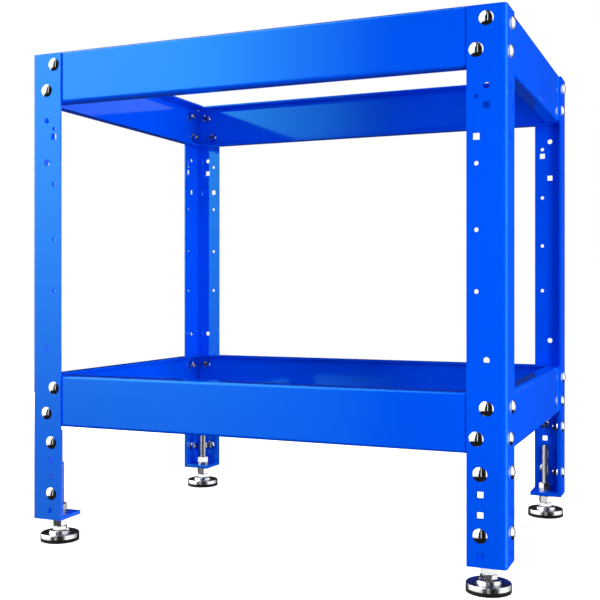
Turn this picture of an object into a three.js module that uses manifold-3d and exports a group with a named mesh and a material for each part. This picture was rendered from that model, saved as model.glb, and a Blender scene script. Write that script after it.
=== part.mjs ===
// A bolted steel shop stand: four corner legs, two rings of four mitred channel rails, and a
// swivel levelling foot clamped in a bracket inside the lower end of each leg.
// Millimetres, +Z up. The origin is on the floor under the middle of the plan; the front faces -Y.
import * as THREE from 'three';
import { mergeVertices } from 'three/addons/utils/BufferGeometryUtils.js';
import Module from 'manifold-3d';

const wasm = await Module();
wasm.setup();

// Plan of the stand, between the outer faces of the legs
const standWidth = 711.2;
const standDepth = 508;

// Fit and modelling allowances
const seatGap = 0.3; // between pieces that bear on each other
const cutOverrun = 5; // how far a cutter runs past the face that it cuts
const mergeTolerance = 0.001;

// Legs: an angle bent from sheet, with the same holes in mirror order on its two flanges
const legLength = 696.4;
const legFlange = 50.2;
const legSheet = 2.66;
const legInsideBend = 1.84;
const cornerColumn = 25.2; // from the leg's corner to the nearer column of holes
const columnStep = 12.7; // on to the further column
const bracketColumn = 33.2; // from the leg's corner to the bracket's own column
const smallHole = 6;
const smallHoleShares = [0.4368, 0.6409, 0.8605]; // of the way from the shelf rail to the spare one
const smallHoleRise = 30.35; // the uppermost one, above the spare rail's middle
const largeHole = 8.3;
const largeHoleShare = 0.2103; // of the same way
const largeHoleRise = 43.15; // the upper one, above the spare rail's middle

// Rails: one channel with a wide and a narrow flange, wide side up in the top ring and
// turned over in the shelf ring, where the wide flange carries the shelf
const railHeight = 76.2;
const railWideFlange = 31;
const railNarrowFlange = 21;
const railSheet = 2.66;
const railInsideBend = 1.84;
const railCornerGap = 0.58; // from a rail's web end to the face of the next rail's web
const mitreSlit = 2.8; // across the slit between two mitred flanges
const railBoltRow = 19.05; // from the rail's middle to its upper and lower bolts
const topRailRise = 2.1; // from the leg's top to the top ring's upper face
const spareRailDrop = 107.35; // from the top rail's middle to an unused station's, its holes open
const shelfRailHeight = 177.8; // rail's middle, from the leg's foot

// Carriage bolts and hexagon nuts, 5/16 inch
const boltLength = 15.9;
const boltShank = 7.94;
const boltHead = 18.5;
const boltHeadHeight = 4.4;
const squareHole = 8.7; // across a square hole
const shankClearance = 1.1; // in a rail's round hole
const boltNutHeight = 8;
const boltNutWidth = 12.7; // across the flats

// Foot brackets: an angle nested in the leg, welded to a thick bottom plate
const bracketSheet = 2.66;
const bracketInsideBend = 1.84;
const bracketTopClearance = 1.7; // under the shelf rail
const bracketCornerCut = 4;
const bracketPlate = 6;
const bracketFirstRow = 13.6; // lowest row of square holes, from the leg's foot
const bracketRowPitch = 25.4;
const bracketRowMargin = 15; // from the top row to the bracket's top, at least

// Threaded foot stem, 1/2 inch, with its hexagon and swivel ball
const stemOffset = 28.3; // from both outer faces of the leg to the stem's axis
const stemDiameter = 12.7;
const stemRise = 82; // from the leg's foot to the stem's top
const stemChamfer = 1.2;
const stemHoleClearance = 0.4;
const stemHexWidth = 19.05;
const stemHexHeight = 6.6;
const stemHexBottom = 15.6; // above the floor
const ballDiameter = 11;
const ballHeight = 9.5; // middle of the ball, above the floor
const neckDiameter = 7.2;

// Hexagon nuts and washers on the stem
const nutWidth = 19.05;
const nutHeight = 10.8;
const threadClearance = 0.2; // between the stem and what turns on it
const washerDiameter = 23.4;
const washerThickness = 2.1;
const washerClearance = 0.45;

// Zinc cup: a dished disc with a rim, and a boss whose socket holds the ball
const cupDiameter = 57.6;
const cupHeight = 12; // top of the rim, above the floor
const cupWall = 2.5;
const cupEdgeRadius = 2;
const cupDish = 0.6; // depth of the dish below the rim
const bossDiameter = 33;
const bossHeight = 15.2; // above the floor
const bossCrest = 1.6; // width of the crest
const bossSlope = 1.6; // run of the boss's outer and inner slopes
const bossWell = 1.8; // depth of the well inside the crest
const socketClearance = 0.5;
const socketMouth = 9.8;
const socketWall = 1.6;
const socketBodyDiameter = 18;

// Rubber pad: a lip under the cup's rim, and a plug that fills the cup
const padLip = 4.7;
const padPlugClearance = 0.3;

// How finely the round forms are faceted
const bendSegments = 2;
const largeHoleSides = 8;
const smallHoleSides = 6;
const shankSides = 6;
const headSides = 8;
const stemSides = 8;
const washerSides = 8;
const cupSides = 16;
const edgeSteps = 1;
const domeSteps = 2;
const ballSteps = 4;

const quarterTurn = Math.PI / 2;
const halfTurn = Math.PI;

// Sizes that follow from those above
const grip = legSheet + seatGap + railSheet; // through a leg and a rail
const bracketGrip = legSheet + seatGap + bracketSheet;
const railFace = legSheet + seatGap; // from the leg's outer face to the rail's
const railEnd = grip + railCornerGap; // from the leg's outer face to the rail's web end
const freeColumn = cornerColumn + columnStep;
const railHole = boltShank + shankClearance;
const topRailHeight = legLength + topRailRise - railHeight / 2;
const spareRailHeight = topRailHeight - spareRailDrop;
const shelfToSpare = spareRailHeight - shelfRailHeight;
const smallHoleHeights = [
  ...smallHoleShares.map((share) => shelfRailHeight + share * shelfToSpare),
  spareRailHeight + smallHoleRise,
];
const largeHoleHeights = [
  shelfRailHeight + largeHoleShare * shelfToSpare,
  spareRailHeight + largeHoleRise,
];
const bracketHeight = shelfRailHeight - railHeight / 2 - bracketTopClearance;
const rowSpan = bracketHeight - bracketRowMargin - bracketFirstRow;
const topRow = Math.floor(rowSpan / bracketRowPitch);
const legRows = Array.from({ length: topRow + 1 }, (_, row) => row); // punched in the leg
const bracketRows = legRows.slice(1); // punched in the bracket
const boltedRows = [bracketRows[0], topRow];
const lowerNutBottom = stemHexBottom + stemHexHeight + seatGap;
const lowerWasherBottom = lowerNutBottom + nutHeight + seatGap;
const footHeight = lowerWasherBottom + washerThickness + seatGap; // floor to the leg's foot
const upperWasherBottom = footHeight + bracketPlate + seatGap;
const upperNutBottom = upperWasherBottom + washerThickness + seatGap;
const stemTop = footHeight + stemRise;

// Distance from the middle of a regular polygon to its corners, when its sides are that far out
const cornerRadius = (apothem, sides) => apothem / Math.cos(Math.PI / sides);

const material = (name, color, roughness, metalness) =>
  Object.assign(new THREE.MeshStandardMaterial({ color, roughness, metalness }), { name });
const bluePaint = () => material('blue_paint', 0x0d4fd6, 0.25, 0);
const zinc = () => material('bright_zinc', 0xc9ccd0, 0.3, 1);
const blackRubber = () => material('black_rubber', 0x161616, 0.85, 0);

// A closed geometry as a solid that can be joined and cut
function toSolid(geometry) {
  const bare = geometry.clone();
  bare.deleteAttribute('normal');
  bare.deleteAttribute('uv');
  const merged = mergeVertices(bare, mergeTolerance);
  return new wasm.Manifold(new wasm.Mesh({
    numProp: 3,
    vertProperties: merged.attributes.position.array,
    triVerts: new Uint32Array(merged.index.array),
  }));
}

const joinAll = (solids) => solids.reduce((whole, next) => whole.add(next));
const cutAll = (body, cutters) => cutters.reduce((left, cutter) => left.subtract(cutter), body);

// A solid's surface, with the vertices that its facets share
function toGeometry(solid) {
  const { vertProperties, triVerts } = solid.getMesh();
  const geometry = new THREE.BufferGeometry();
  geometry.setAttribute('position', new THREE.BufferAttribute(vertProperties, 3));
  geometry.setIndex(new THREE.BufferAttribute(triVerts, 1));
  return geometry;
}

// A solid as a named mesh with flat-shaded facets
function toMesh(name, solid, meshMaterial) {
  const geometry = toGeometry(solid).toNonIndexed();
  geometry.computeVertexNormals();
  const mesh = new THREE.Mesh(geometry, meshMaterial);
  mesh.name = name;
  return mesh;
}

// Builds a shape's prism along Z, from one height to another
function prismUp(shape, bottom, top) {
  const options = { depth: top - bottom, bevelEnabled: false, curveSegments: bendSegments };
  return new THREE.ExtrudeGeometry(shape, options).translate(0, 0, bottom);
}

// Builds a section's prism along X: the section's own x and y become Y and Z
function prismAcross(section, left, right) {
  const toSide = new THREE.Matrix4().makeBasis(
    new THREE.Vector3(0, 1, 0),
    new THREE.Vector3(0, 0, 1),
    new THREE.Vector3(1, 0, 0),
  );
  return prismUp(section, left, right).applyMatrix4(toSide);
}

// A prism of regular polygon section along Y, its flats squared up to X and Z
function polygonPrism(apothem, sides, from, to) {
  const radius = cornerRadius(apothem, sides);
  return new THREE.CylinderGeometry(radius, radius, to - from, sides)
    .rotateY(Math.PI / sides)
    .translate(0, (from + to) / 2, 0);
}

// A turned form: its profile holds [radius, height] pairs, up the outside and round about Z
function turned(profile, sides) {
  const points = profile.map(([radius, height]) => new THREE.Vector2(radius, height));
  return new THREE.LatheGeometry(points, sides).rotateX(quarterTurn);
}

// A hexagon prism about Z, as wide across its flats as given
function hexagon(width, bottom, top) {
  return toSolid(polygonPrism(width / 2, 6, bottom, top).rotateX(quarterTurn));
}

// Legs and brackets: the section of an angle whose outer faces lie on the axes
function angleSection(flange, sheet, insideBend) {
  const bend = sheet + insideBend;
  const section = new THREE.Shape();
  section.moveTo(bend, 0);
  section.lineTo(flange, 0);
  section.lineTo(flange, sheet);
  section.lineTo(bend, sheet);
  section.absarc(bend, bend, insideBend, -quarterTurn, -halfTurn, true);
  section.lineTo(sheet, flange);
  section.lineTo(0, flange);
  section.lineTo(0, bend);
  section.absarc(bend, bend, bend, -halfTurn, -quarterTurn, false);
  return section;
}

// The two flanges of a leg: what is built about Y on the first is turned to X on the second.
// Upper rail bolts take the free column on the first flange and the corner column on the second.
const flanges = [
  { along: [1, 0], turn: 0, upperColumn: freeColumn, lowerColumn: cornerColumn },
  { along: [0, 1], turn: -quarterTurn, upperColumn: cornerColumn, lowerColumn: freeColumn },
];

function onFlange(geometry, flange, column, height) {
  const [x, y] = flange.along;
  return geometry.clone().rotateZ(flange.turn).translate(x * column, y * column, height);
}

const railBoltPlaces = (flange, height) => [
  { column: flange.upperColumn, height: height + railBoltRow },
  { column: flange.lowerColumn, height: height - railBoltRow },
];

const rowHeight = (row) => bracketFirstRow + row * bracketRowPitch;

// Cutters along Y, for sheet that lies on the XZ plane or just behind it
const cutterReach = bracketGrip + grip + cutOverrun;
const squareCutter = new THREE.BoxGeometry(squareHole, cutterReach, squareHole);
const roundCutter = (diameter, sides) =>
  polygonPrism(diameter / 2, sides, -cutterReach / 2, cutterReach / 2);

// A carriage bolt with its nut, along +Y through sheet whose outer face is at zero.
// The underside of the domed head is at headSeat, and the nut's face is at nutSeat.
function carriageBolt(headSeat, nutSeat) {
  const headRadius = boltHead / 2;
  const domeRadius = (headRadius ** 2 + boltHeadHeight ** 2) / (2 * boltHeadHeight);
  const domeAngle = Math.asin(headRadius / domeRadius);
  const dome = Array.from({ length: domeSteps + 1 }, (_, step) => {
    const angle = (domeAngle * step) / domeSteps;
    const drop = domeRadius * (1 - Math.cos(angle));
    return new THREE.Vector2(domeRadius * Math.sin(angle), headSeat - boltHeadHeight + drop);
  });
  const head = new THREE.LatheGeometry([...dome, new THREE.Vector2(0, headSeat)], headSides);
  const shankStart = headSeat - boltHeadHeight / 2;
  const shankApothem = (boltShank / 2) * Math.cos(Math.PI / shankSides);
  return joinAll([
    toSolid(head),
    toSolid(polygonPrism(shankApothem, shankSides, shankStart, boltLength)),
    toSolid(polygonPrism(boltNutWidth / 2, 6, nutSeat, nutSeat + boltNutHeight)),
  ]);
}

function makeLeg() {
  const angle = toSolid(prismUp(angleSection(legFlange, legSheet, legInsideBend), 0, legLength));
  const bolt = toGeometry(carriageBolt(seatGap, grip + seatGap)); // its head sunk a little
  const cutters = [];
  const bolts = [];
  for (const flange of flanges) {
    const cut = (geometry, column, height) =>
      cutters.push(toSolid(onFlange(geometry, flange, column, height)));
    for (const height of largeHoleHeights) {
      cut(roundCutter(largeHole, largeHoleSides), cornerColumn, height);
    }
    for (const height of smallHoleHeights) {
      cut(roundCutter(smallHole, smallHoleSides), freeColumn, height);
    }
    legRows.forEach((row) => cut(squareCutter, bracketColumn, rowHeight(row)));
    for (const place of railBoltPlaces(flange, spareRailHeight)) {
      cut(squareCutter, place.column, place.height);
    }
    for (const station of [topRailHeight, shelfRailHeight]) {
      for (const place of railBoltPlaces(flange, station)) {
        bolts.push(toSolid(onFlange(bolt, flange, place.column, place.height)));
      }
    }
  }
  return joinAll([cutAll(angle, cutters), ...bolts]);
}

// The channel's section: web on the YZ plane, wide flange up, seen from the left end
function channelSection() {
  const bend = railSheet + railInsideBend;
  const top = railHeight / 2;
  const section = new THREE.Shape();
  section.moveTo(railNarrowFlange, -top);
  section.lineTo(railNarrowFlange, railSheet - top);
  section.lineTo(bend, railSheet - top);
  section.absarc(bend, bend - top, railInsideBend, -quarterTurn, -halfTurn, true);
  section.lineTo(railSheet, top - bend);
  section.absarc(bend, top - bend, railInsideBend, halfTurn, quarterTurn, true);
  section.lineTo(railWideFlange, top - railSheet);
  section.lineTo(railWideFlange, top);
  section.lineTo(bend, top);
  section.absarc(bend, top - bend, bend, quarterTurn, halfTurn, false);
  section.lineTo(0, bend - top);
  section.absarc(bend, bend - top, bend, halfTurn, halfTurn + quarterTurn, false);
  return section;
}

// What is cut off both flanges at the rail's right end, 45 degrees to its length
function mitreCutters(span) {
  const setback = mitreSlit / Math.SQRT2;
  const reach = railFace + Math.max(railWideFlange, railNarrowFlange) + cutOverrun;
  const tip = span / 2 - setback;
  const outline = new THREE.Shape();
  outline.moveTo(tip, 0);
  outline.lineTo(span / 2 + cutOverrun, 0);
  outline.lineTo(span / 2 + cutOverrun, reach);
  outline.lineTo(tip - reach, reach);
  const webEdge = railHeight / 2 - railSheet - railInsideBend;
  const past = railHeight / 2 + cutOverrun;
  return [prismUp(outline, webEdge, past), prismUp(outline, -past, -webEdge)];
}

// A rail about its own middle: both ends are alike after half a turn about Y
function makeRail(span) {
  const halfWeb = span / 2 - railEnd;
  const channel = toSolid(prismAcross(channelSection(), -halfWeb, halfWeb).translate(0, railFace, 0));
  const hole = roundCutter(railHole, shankSides);
  const rightEnd = [
    ...mitreCutters(span),
    hole.clone().translate(span / 2 - cornerColumn, 0, railBoltRow),
    hole.clone().translate(span / 2 - freeColumn, 0, -railBoltRow),
  ];
  const cutters = [0, halfTurn].flatMap((turn) =>
    rightEnd.map((geometry) => toSolid(geometry.clone().rotateY(turn))));
  return cutAll(channel, cutters);
}

function makeBracket() {
  const reach = legFlange - railFace;
  const section = angleSection(reach, bracketSheet, bracketInsideBend);
  const bend = bracketSheet + bracketInsideBend;
  const plateOutline = new THREE.Shape();
  plateOutline.moveTo(bend, 0);
  plateOutline.lineTo(reach, 0);
  plateOutline.lineTo(reach, reach);
  plateOutline.lineTo(0, reach);
  plateOutline.lineTo(0, bend);
  plateOutline.absarc(bend, bend, bend, -halfTurn, -quarterTurn, false);
  const body = joinAll([
    toSolid(prismUp(section, 0, bracketHeight).translate(railFace, railFace, 0)),
    toSolid(prismUp(plateOutline, 0, bracketPlate).translate(railFace, railFace, 0)),
  ]);
  const stemHole = polygonPrism(
    stemDiameter / 2 + stemHoleClearance, stemSides, -cutOverrun, bracketPlate + cutOverrun);
  const cutters = [toSolid(stemHole.rotateX(quarterTurn).translate(stemOffset, stemOffset, 0))];
  const cornerSide = bracketCornerCut * Math.SQRT2;
  const cornerCutter = new THREE.BoxGeometry(cornerSide, cutterReach, cornerSide)
    .rotateY(quarterTurn / 2);
  for (const flange of flanges) {
    for (const row of bracketRows) {
      cutters.push(toSolid(onFlange(squareCutter, flange, bracketColumn, rowHeight(row))));
    }
    cutters.push(toSolid(onFlange(cornerCutter, flange, legFlange, bracketHeight)));
  }
  return cutAll(body, cutters);
}

// The ball's or its socket's outline, from one angle to another, measured from straight down
function ballArc(radius, from, to) {
  return Array.from({ length: ballSteps + 1 }, (_, step) => {
    const angle = from + ((to - from) * step) / ballSteps;
    return [radius * Math.sin(angle), ballHeight - radius * Math.cos(angle)];
  });
}

// The stem: a swivel ball, a neck, a spanner hexagon and a threaded shank with a chamfered end
function makeStem() {
  const ballRadius = ballDiameter / 2;
  const neckRadius = neckDiameter / 2;
  const stemRadius = stemDiameter / 2;
  const hexMiddle = stemHexBottom + stemHexHeight / 2;
  const ballTop = halfTurn - Math.asin(neckRadius / ballRadius);
  const outline = [
    ...ballArc(ballRadius, 0, ballTop),
    [neckRadius, hexMiddle],
    [stemRadius, hexMiddle],
    [stemRadius, stemTop - stemChamfer],
    [stemRadius - stemChamfer, stemTop],
    [0, stemTop],
  ];
  const hex = hexagon(stemHexWidth, stemHexBottom, stemHexBottom + stemHexHeight);
  return toSolid(turned(outline, stemSides)).add(hex);
}

function makeNut(bottom) {
  const top = bottom + nutHeight;
  const bore = polygonPrism(
    stemDiameter / 2 + threadClearance, stemSides, bottom - cutOverrun, top + cutOverrun);
  return hexagon(nutWidth, bottom, top).subtract(toSolid(bore.rotateX(quarterTurn)));
}

function makeWasher(bottom) {
  const outer = washerDiameter / 2;
  const inner = cornerRadius(stemDiameter / 2 + washerClearance, washerSides);
  const top = bottom + washerThickness;
  return toSolid(turned(
    [[inner, bottom], [outer, bottom], [outer, top], [inner, top], [inner, bottom]], washerSides));
}

// Heights and radii that the cup and the pad share
const cupRadius = cupDiameter / 2;
const cupInner = cupRadius - cupWall;
const cupUnderside = cupHeight - cupDish - cupWall;
const socketRadius = ballDiameter / 2 + socketClearance;
const socketBottom = ballHeight - socketRadius - socketWall;
const socketBody = socketBodyDiameter / 2;

function makeCup() {
  const rimEdge = Array.from({ length: edgeSteps + 1 }, (_, step) => {
    const angle = (quarterTurn * step) / edgeSteps;
    return [
      cupRadius - cupEdgeRadius * (1 - Math.cos(angle)),
      cupHeight - cupEdgeRadius * (1 - Math.sin(angle)),
    ];
  });
  const dish = cupHeight - cupDish;
  const bossRadius = bossDiameter / 2;
  const crestOuter = bossRadius - bossSlope;
  const crestInner = crestOuter - bossCrest;
  const well = bossHeight - bossWell;
  const mouthAngle = halfTurn - Math.asin(socketMouth / 2 / socketRadius);
  const outline = [
    [0, socketBottom],
    [socketBody, socketBottom],
    [socketBody, cupUnderside],
    [cupInner, cupUnderside],
    [cupInner, padLip + seatGap],
    [cupRadius, padLip + seatGap],
    ...rimEdge,
    [cupInner, dish],
    [bossRadius, dish],
    [crestOuter, bossHeight],
    [crestInner, bossHeight],
    [crestInner - bossSlope, well],
    [socketMouth / 2, well],
    ...ballArc(socketRadius, mouthAngle, 0),
  ];
  return toSolid(turned(outline, cupSides));
}

function makePad() {
  const plug = cupInner - padPlugClearance;
  const plugTop = cupUnderside - seatGap;
  const pocket = socketBody + padPlugClearance;
  const pocketFloor = socketBottom - seatGap;
  return toSolid(turned([
    [0, 0],
    [cupRadius, 0],
    [cupRadius, padLip],
    [plug, padLip],
    [plug, plugTop],
    [pocket, plugTop],
    [pocket, pocketFloor],
    [0, pocketFloor],
  ], cupSides));
}

// The pieces about one stem, with heights measured from the floor
function makeFoot(corner) {
  const foot = new THREE.Group();
  foot.add(
    toMesh(`foot_pad_${corner}`, makePad(), blackRubber()),
    toMesh(`foot_cup_${corner}`, makeCup(), zinc()),
    toMesh(`foot_stem_${corner}`, makeStem(), zinc()),
    toMesh(`lower_nut_${corner}`, makeNut(lowerNutBottom), zinc()),
    toMesh(`lower_washer_${corner}`, makeWasher(lowerWasherBottom), zinc()),
    toMesh(`upper_washer_${corner}`, makeWasher(upperWasherBottom), zinc()),
    toMesh(`upper_nut_${corner}`, makeNut(upperNutBottom), zinc()),
  );
  return foot;
}

// A corner: the leg with its rail bolts, the bracket with its own bolts, and the foot
function makeCorner(corner) {
  const group = new THREE.Group();
  group.add(toMesh(`leg_${corner}`, makeLeg(), bluePaint()));
  group.add(toMesh(`foot_bracket_${corner}`, makeBracket(), bluePaint()));
  const bracketBolt = carriageBolt(-seatGap, bracketGrip + seatGap);
  let count = 0;
  for (const flange of flanges) {
    for (const row of boltedRows) {
      count += 1;
      const bolt = toMesh(`bracket_bolt_${corner}_${count}`, bracketBolt, zinc());
      const [x, y] = flange.along;
      bolt.rotation.z = flange.turn;
      bolt.position.set(x * bracketColumn, y * bracketColumn, rowHeight(row));
      group.add(bolt);
    }
  }
  const foot = makeFoot(corner);
  foot.position.set(stemOffset, stemOffset, -footHeight);
  group.add(foot);
  return group;
}

const corners = [
  { name: 'front_left', side: [-1, -1], turn: 0 },
  { name: 'front_right', side: [1, -1], turn: quarterTurn },
  { name: 'back_right', side: [1, 1], turn: halfTurn },
  { name: 'back_left', side: [-1, 1], turn: -quarterTurn },
];
const railSides = [
  { name: 'front', side: [0, -1], turn: 0, span: standWidth },
  { name: 'right', side: [1, 0], turn: quarterTurn, span: standDepth },
  { name: 'back', side: [0, 1], turn: halfTurn, span: standWidth },
  { name: 'left', side: [-1, 0], turn: -quarterTurn, span: standDepth },
];

const stand = new THREE.Group();
for (const { name, side: [x, y], turn } of corners) {
  const corner = makeCorner(name);
  corner.rotation.z = turn;
  corner.position.set((x * standWidth) / 2, (y * standDepth) / 2, footHeight);
  stand.add(corner);
}
for (const { name, side: [x, y], turn, span } of railSides) {
  const topRail = toMesh(`top_rail_${name}`, makeRail(span), bluePaint());
  topRail.position.z = topRailHeight;
  const shelfRail = toMesh(`shelf_rail_${name}`, makeRail(span), bluePaint());
  shelfRail.position.z = shelfRailHeight;
  shelfRail.rotation.y = halfTurn;
  const pair = new THREE.Group();
  pair.add(topRail, shelfRail);
  pair.rotation.z = turn;
  pair.position.set((x * standWidth) / 2, (y * standDepth) / 2, footHeight);
  stand.add(pair);
}

export default stand;
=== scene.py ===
import math

import bmesh
import bpy
from mathutils import Matrix, Vector
from mathutils.geometry import tessellate_polygon


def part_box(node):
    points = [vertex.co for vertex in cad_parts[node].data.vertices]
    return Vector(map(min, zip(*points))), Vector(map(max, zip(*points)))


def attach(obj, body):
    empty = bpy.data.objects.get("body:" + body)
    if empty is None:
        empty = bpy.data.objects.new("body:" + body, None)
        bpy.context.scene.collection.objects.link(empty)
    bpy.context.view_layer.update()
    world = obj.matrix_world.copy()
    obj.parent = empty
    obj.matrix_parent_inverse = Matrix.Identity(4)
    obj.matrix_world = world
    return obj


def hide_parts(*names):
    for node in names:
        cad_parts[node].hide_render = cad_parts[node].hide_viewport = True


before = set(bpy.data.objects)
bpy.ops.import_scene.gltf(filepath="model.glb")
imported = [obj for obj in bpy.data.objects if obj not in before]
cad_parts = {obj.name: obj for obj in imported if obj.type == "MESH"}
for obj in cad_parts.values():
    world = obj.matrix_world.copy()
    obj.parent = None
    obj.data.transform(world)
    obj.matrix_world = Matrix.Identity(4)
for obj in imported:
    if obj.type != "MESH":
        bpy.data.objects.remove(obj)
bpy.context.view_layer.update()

# The camera stands at the stand's right front, level and low, so that every upright is upright
# in the picture. A small shift sets the horizon without tilting it.
CAMERA_PLACE = (0.5897, -1.4562, 0.3814)
CAMERA_LEVEL = math.radians(90)
CAMERA_TURN = math.radians(22.936)
LENS = 58.8
SENSOR = 36
HORIZON_SHIFT = -0.0191

camera_data = bpy.data.cameras.new("photo_camera")
camera_data.lens = LENS
camera_data.sensor_width = SENSOR
camera_data.shift_y = HORIZON_SHIFT
camera = bpy.data.objects.new("photo_camera", camera_data)
camera.location = CAMERA_PLACE
camera.rotation_euler = (CAMERA_LEVEL, 0, CAMERA_TURN)
bpy.context.scene.collection.objects.link(camera)
bpy.context.scene.camera = camera


# Powder coat: a gloss blue, sprayed and baked over the pressed steel. It lies in a faint orange
# peel, a little thinner and paler in broad clouds, with a few specks of dust baked in.
class Wire:
    """A value in a node tree. Arithmetic on wires and numbers adds Math nodes."""

    def __init__(self, tree, socket=None):
        self.tree = tree
        self.socket = socket

    def add(self, kind, settings=None, values=None):
        """Adds a node with its settings, then its values or links, and returns its output."""
        node = self.tree.nodes.new(kind)
        for key, value in (settings or {}).items():
            setattr(node, key, value)
        for key, value in (values or {}).items():
            if isinstance(value, Wire):
                self.tree.links.new(value.socket, node.inputs[key])
            else:
                node.inputs[key].default_value = value
        output = next((socket for socket in node.outputs if socket.enabled), None)
        return Wire(self.tree, output)

    def out(self, name):
        """Another output of the same node."""
        return Wire(self.tree, self.socket.node.outputs[name])

    def math(self, operation, first, second):
        return self.add("ShaderNodeMath", {"operation": operation}, {0: first, 1: second})

    def __add__(self, other):
        return self.math("ADD", self, other)

    def __sub__(self, other):
        return self.math("SUBTRACT", self, other)

    def __rsub__(self, other):
        return self.math("SUBTRACT", other, self)

    def __mul__(self, other):
        return self.math("MULTIPLY", self, other)

    __radd__ = __add__
    __rmul__ = __mul__

    def above(self, edge, softness):
        """0 below the edge, 1 past edge + softness, smooth between."""
        return self.add("ShaderNodeMapRange", {"interpolation_type": "SMOOTHSTEP"},
                        {"Value": self, "From Min": edge, "From Max": edge + softness})


def empty_tree(owner):
    """Empties the node tree of a material or of the world, and returns a wire to build it with."""
    owner.use_nodes = True
    owner.node_tree.nodes.clear()
    return Wire(owner.node_tree)


def new_material(name):
    """A material with an empty tree: its wire for adding nodes, and the object's coordinates."""
    material = bpy.data.materials.new(name)
    wire = empty_tree(material)
    return material, wire, wire.add("ShaderNodeTexCoord").out("Object")


def finish_surface(wire, values):
    """Ends a material's tree with a Principled surface."""
    surface = wire.add("ShaderNodeBsdfPrincipled", None, values)
    wire.add("ShaderNodeOutputMaterial", None, {"Surface": surface})


def noise(wire, place, size, detail=2):
    """Noise between 0 and 1 whose grains are about the given size."""
    return wire.add("ShaderNodeTexNoise", None,
                    {"Vector": place, "Scale": 1 / size, "Detail": detail, "Roughness": 0.5})


def mixed(wire, share, first, second):
    """A colour between two others. The Mix node's colours go by number, not by name."""
    first_color, second_color, color_out = 6, 7, 2
    return wire.add("ShaderNodeMix", {"data_type": "RGBA"},
                    {"Factor": share, first_color: first, second_color: second}).out(color_out)


def bump(wire, strength, depth, height):
    """Relief of a given depth on the surface."""
    return wire.add("ShaderNodeBump", None,
                    {"Strength": strength, "Distance": depth, "Height": height})


MM = 0.001
PAINT_DEEP = (0.0, 0.088, 0.90, 1)
PAINT_PALE = (0.0, 0.098, 0.98, 1)
PAINT_DUST = (0.01, 0.14, 0.95, 1)
PAINT_SHEEN = (0.09, 0.95, 1.0, 1)
PAINT_SPECULAR = 0.56
PAINT_ROUGHNESS = 0.05
PEEL_ROUGHNESS = 0.04
PEEL_SIZE = 1.8 * MM
PEEL_DEPTH = 0.05 * MM
PEEL_STRENGTH = 0.12
CLOUD_SIZE = 90 * MM
SPECK_SPACING = 14 * MM
SPECK_SIZE = 0.02
SPECK_EDGE = 0.01
SPECK_COLOR = 0.5
SPECK_HEIGHT = 2

powder_coat, wire, place = new_material("blue_powder_coat")
clouds = noise(wire, place, CLOUD_SIZE)
peel = noise(wire, place, PEEL_SIZE)
cells = wire.add("ShaderNodeTexVoronoi", None, {"Vector": place, "Scale": 1 / SPECK_SPACING})
speck = 1 - cells.above(SPECK_SIZE, SPECK_EDGE)
sprayed = mixed(wire, clouds, PAINT_DEEP, PAINT_PALE)
finish_surface(wire, {
    "Base Color": mixed(wire, speck * SPECK_COLOR, sprayed, PAINT_DUST),
    "Roughness": PAINT_ROUGHNESS + PEEL_ROUGHNESS * peel,
    "Specular IOR Level": PAINT_SPECULAR,
    "Specular Tint": PAINT_SHEEN,
    "Normal": bump(wire, PEEL_STRENGTH, PEEL_DEPTH, peel + SPECK_HEIGHT * speck),
})


# Corner legs: an angle pressed from one punched blank, with a rounded corner. Each flange has a
# column of square and round holes near the corner and another further out, staggered so that the
# bolts of the two flanges miss each other. A blank is drawn flat, then folded here as it is made.
QUARTER = math.pi / 2
STAND_WIDTH = 711.2 * MM
STAND_DEPTH = 508 * MM
FOOT_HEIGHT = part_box("foot_bracket_front_left")[0].z
STEEL = 2.66 * MM
BEND = 4.5 * MM
FOLD_LENGTH = BEND * QUARTER
FOLD_STEPS = 12
ROUND_STEPS = 24
EDGE_ROUND = 0.3 * MM
EDGE_STEPS = 2
EDGE_ANGLE = math.radians(50)

# From a corner's own axes, at the leg's foot, to the stand's. The corners follow each other
# anticlockwise from the front left, each turned a quarter from the last.
CORNERS = {
    name: Matrix.Translation((x * STAND_WIDTH / 2, y * STAND_DEPTH / 2, FOOT_HEIGHT))
    @ Matrix.Rotation(turn * QUARTER, 4, "Z")
    for name, x, y, turn in (
        ("front_left", -1, -1, 0),
        ("front_right", 1, -1, 1),
        ("back_right", 1, 1, 2),
        ("back_left", -1, 1, 3),
    )
}


def round_hole(u, v, diameter):
    return [
        (u + diameter / 2 * math.cos(angle), v + diameter / 2 * math.sin(angle))
        for angle in (step * 2 * math.pi / ROUND_STEPS for step in range(ROUND_STEPS))
    ]


def square_hole(u, v, side):
    half = side / 2
    return [(u - half, v - half), (u + half, v - half), (u + half, v + half), (u - half, v + half)]


def punched_blank(outline, holes):
    """A flat sheet, its outer face at height 0 and its inner face a thickness below."""
    loops = [[Vector((u, v, 0)) for u, v in loop] for loop in (outline, *holes)]
    blank = bmesh.new()
    faces = []
    for depth in (0, STEEL):
        rows = [[blank.verts.new((p.x, p.y, -depth)) for p in loop] for loop in loops]
        flat = [vert for row in rows for vert in row]
        for triangle in tessellate_polygon(loops):
            blank.faces.new([flat[index] for index in triangle])
        faces.append(rows)
    for outer, inner in zip(*faces):
        for index, vert in enumerate(outer):
            after = (index + 1) % len(outer)
            blank.faces.new((vert, outer[after], inner[after], inner[index]))
    bmesh.ops.recalc_face_normals(blank, faces=blank.faces)
    return blank


def fold_lines(strips):
    """Where each strip of a blank starts and ends, and whether it is a fold."""
    start = 0
    for kind, length in strips:
        yield kind, start, start + length
        start += length


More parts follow.
